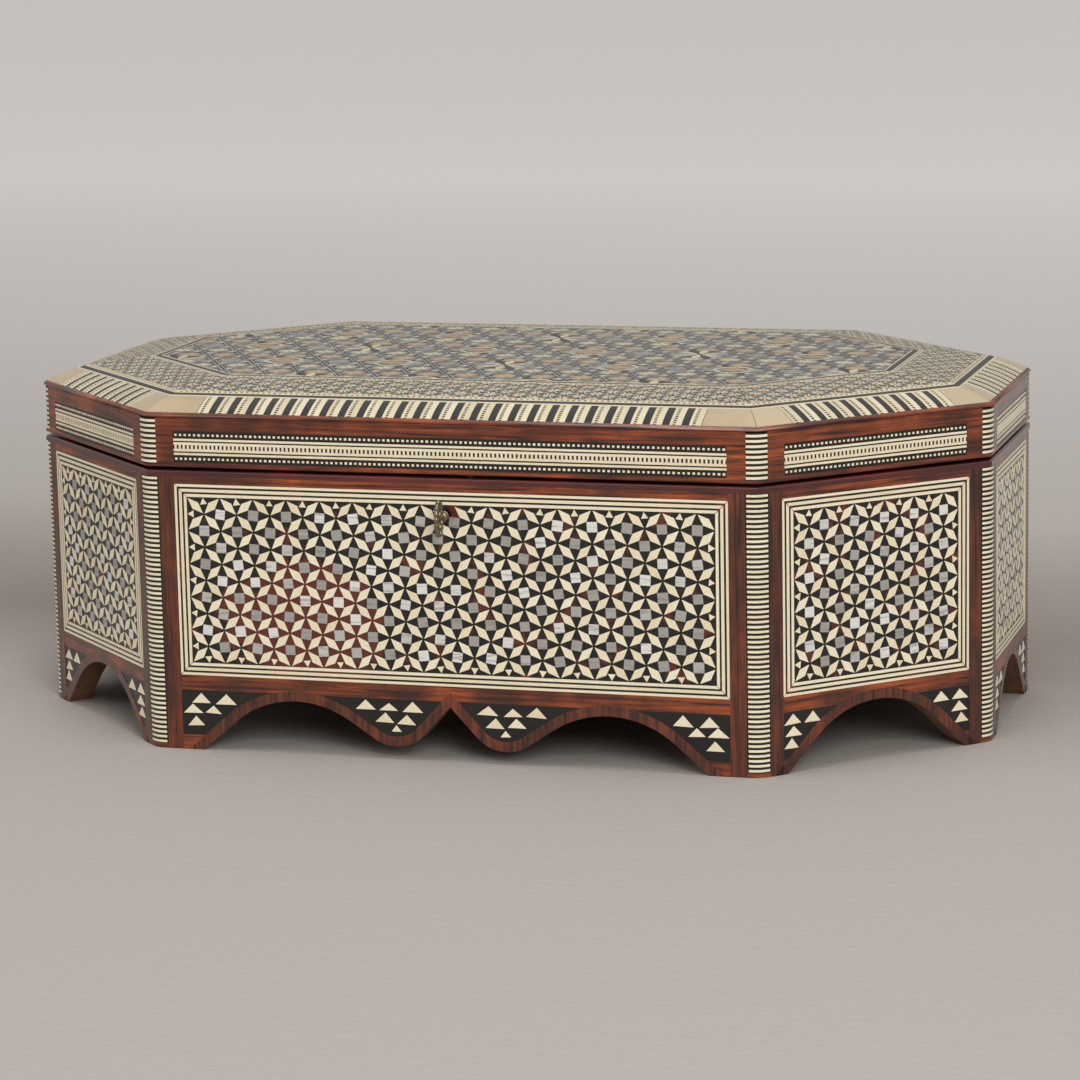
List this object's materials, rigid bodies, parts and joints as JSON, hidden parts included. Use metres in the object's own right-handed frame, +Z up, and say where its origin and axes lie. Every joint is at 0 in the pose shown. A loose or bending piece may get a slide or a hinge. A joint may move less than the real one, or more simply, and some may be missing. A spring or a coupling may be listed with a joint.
{
  "type": "inlaid box",
  "caption": "Long eight-sided inlaid casket on shaped apron feet, with a hinged, gently crowned lid, a lattice of bone and shell on its sides and a small key in its lock.",
  "frame": {"origin": "under the middle of everything, on the surface the feet stand on", "axes": "+Z up, -Y out of the front where the key is, +X along the length to the right seen from the front"},
  "size_m": [0.4, 0.2654, 0.1455],
  "materials": {
    "carcass_wood": "plain softwood, sanded",
    "rosewood": "French-polished reddish-brown hardwood",
    "lattice_inlay": "bone, shell and ebony lattice under clear polish",
    "striped_inlay": "cream and black stripes under clear polish",
    "ebony": "black stained wood under clear polish",
    "red_rim": "dark red polish",
    "velvet": "short red velvet",
    "dotted_band": "bone and ebony bands under clear polish",
    "keyed_border": "bone and ebony keys under glossy lacquer",
    "mosaic_band": "micro-mosaic of bone, ebony and coloured woods under glossy lacquer",
    "star_field": "shell and bone star pattern under glossy lacquer",
    "hinge_brass": "plain brass, dulled",
    "screw_steel": "dull steel screws",
    "lock_steel": "dull sheet steel",
    "key_brass": "grey, worn cast brass"
  },
  "bodies": {
    "case": {"front_wall": "carcass_wood", "front_right_wall": "carcass_wood", "right_wall": "carcass_wood", "back_right_wall": "carcass_wood", "back_wall": "carcass_wood", "back_left_wall": "carcass_wood", "left_wall": "carcass_wood", "front_left_wall": "carcass_wood", "front_frame": "rosewood", "front_right_frame": "rosewood", "right_frame": "rosewood", "back_right_frame": "rosewood", "back_frame": "rosewood", "back_left_frame": "rosewood", "left_frame": "rosewood", "front_left_frame": "rosewood", "front_inlay": "lattice_inlay", "front_right_inlay": "lattice_inlay", "right_inlay": "lattice_inlay", "back_right_inlay": "lattice_inlay", "back_inlay": "lattice_inlay", "back_left_inlay": "lattice_inlay", "left_inlay": "lattice_inlay", "front_left_inlay": "lattice_inlay", "body_corner_strips": "striped_inlay", "apron_spandrels": "ebony", "body_rim": "red_rim", "bottom_board": "carcass_wood", "floor_lining": "velvet", "wall_lining": "velvet", "left_hinge_body_leaf": "hinge_brass", "left_hinge_pin": "hinge_brass", "right_hinge_body_leaf": "hinge_brass", "right_hinge_pin": "hinge_brass", "hinge_body_screws": "screw_steel", "lock_case": "lock_steel", "lock_screws": "screw_steel"},
    "lid": {"lid_front_side": "rosewood", "lid_front_right_side": "rosewood", "lid_right_side": "rosewood", "lid_back_right_side": "rosewood", "lid_back_side": "rosewood", "lid_back_left_side": "rosewood", "lid_left_side": "rosewood", "lid_front_left_side": "rosewood", "lid_side_bands": "dotted_band", "lid_corner_strips": "striped_inlay", "lid_board": "carcass_wood", "lid_border": "keyed_border", "lid_mosaic_band": "mosaic_band", "lid_star_panel": "star_field", "lid_lining": "velvet", "left_hinge_lid_leaf": "hinge_brass", "right_hinge_lid_leaf": "hinge_brass", "hinge_lid_screws": "screw_steel", "link_plate": "lock_steel", "link_screws": "screw_steel"},
    "lock_bolt": {"lock_bolt": "lock_steel"},
    "lock_cam": {"lock_cam": "lock_steel"},
    "key": {"key": "key_brass"}
  },
  "joints": [
    {"name": "lid_hinge", "type": "hinge", "parent": "case", "child": "lid", "pos_m": [0, 0.1305, 0.1135], "axis": [-1, 0, 0], "range_deg": [0, 95]},
    {"name": "key_turn", "type": "hinge", "parent": "case", "child": "lock_cam", "pos_m": [0, -0.1197, 0.0986], "axis": [0, 1, 0], "range_deg": [0, 90]},
    {"name": "key_withdraw", "type": "slide", "parent": "lock_cam", "child": "key", "axis": [0, -1, 0], "range_m": [0, 0.03]},
    {"name": "bolt_slide", "type": "slide", "parent": "case", "child": "lock_bolt", "axis": [1, 0, 0], "range_m": [0, 0.009]}
  ],
  "couplings": [
    {"joint": "key_turn", "follows": "bolt_slide", "rad_per_m": 174.53}
  ]
}
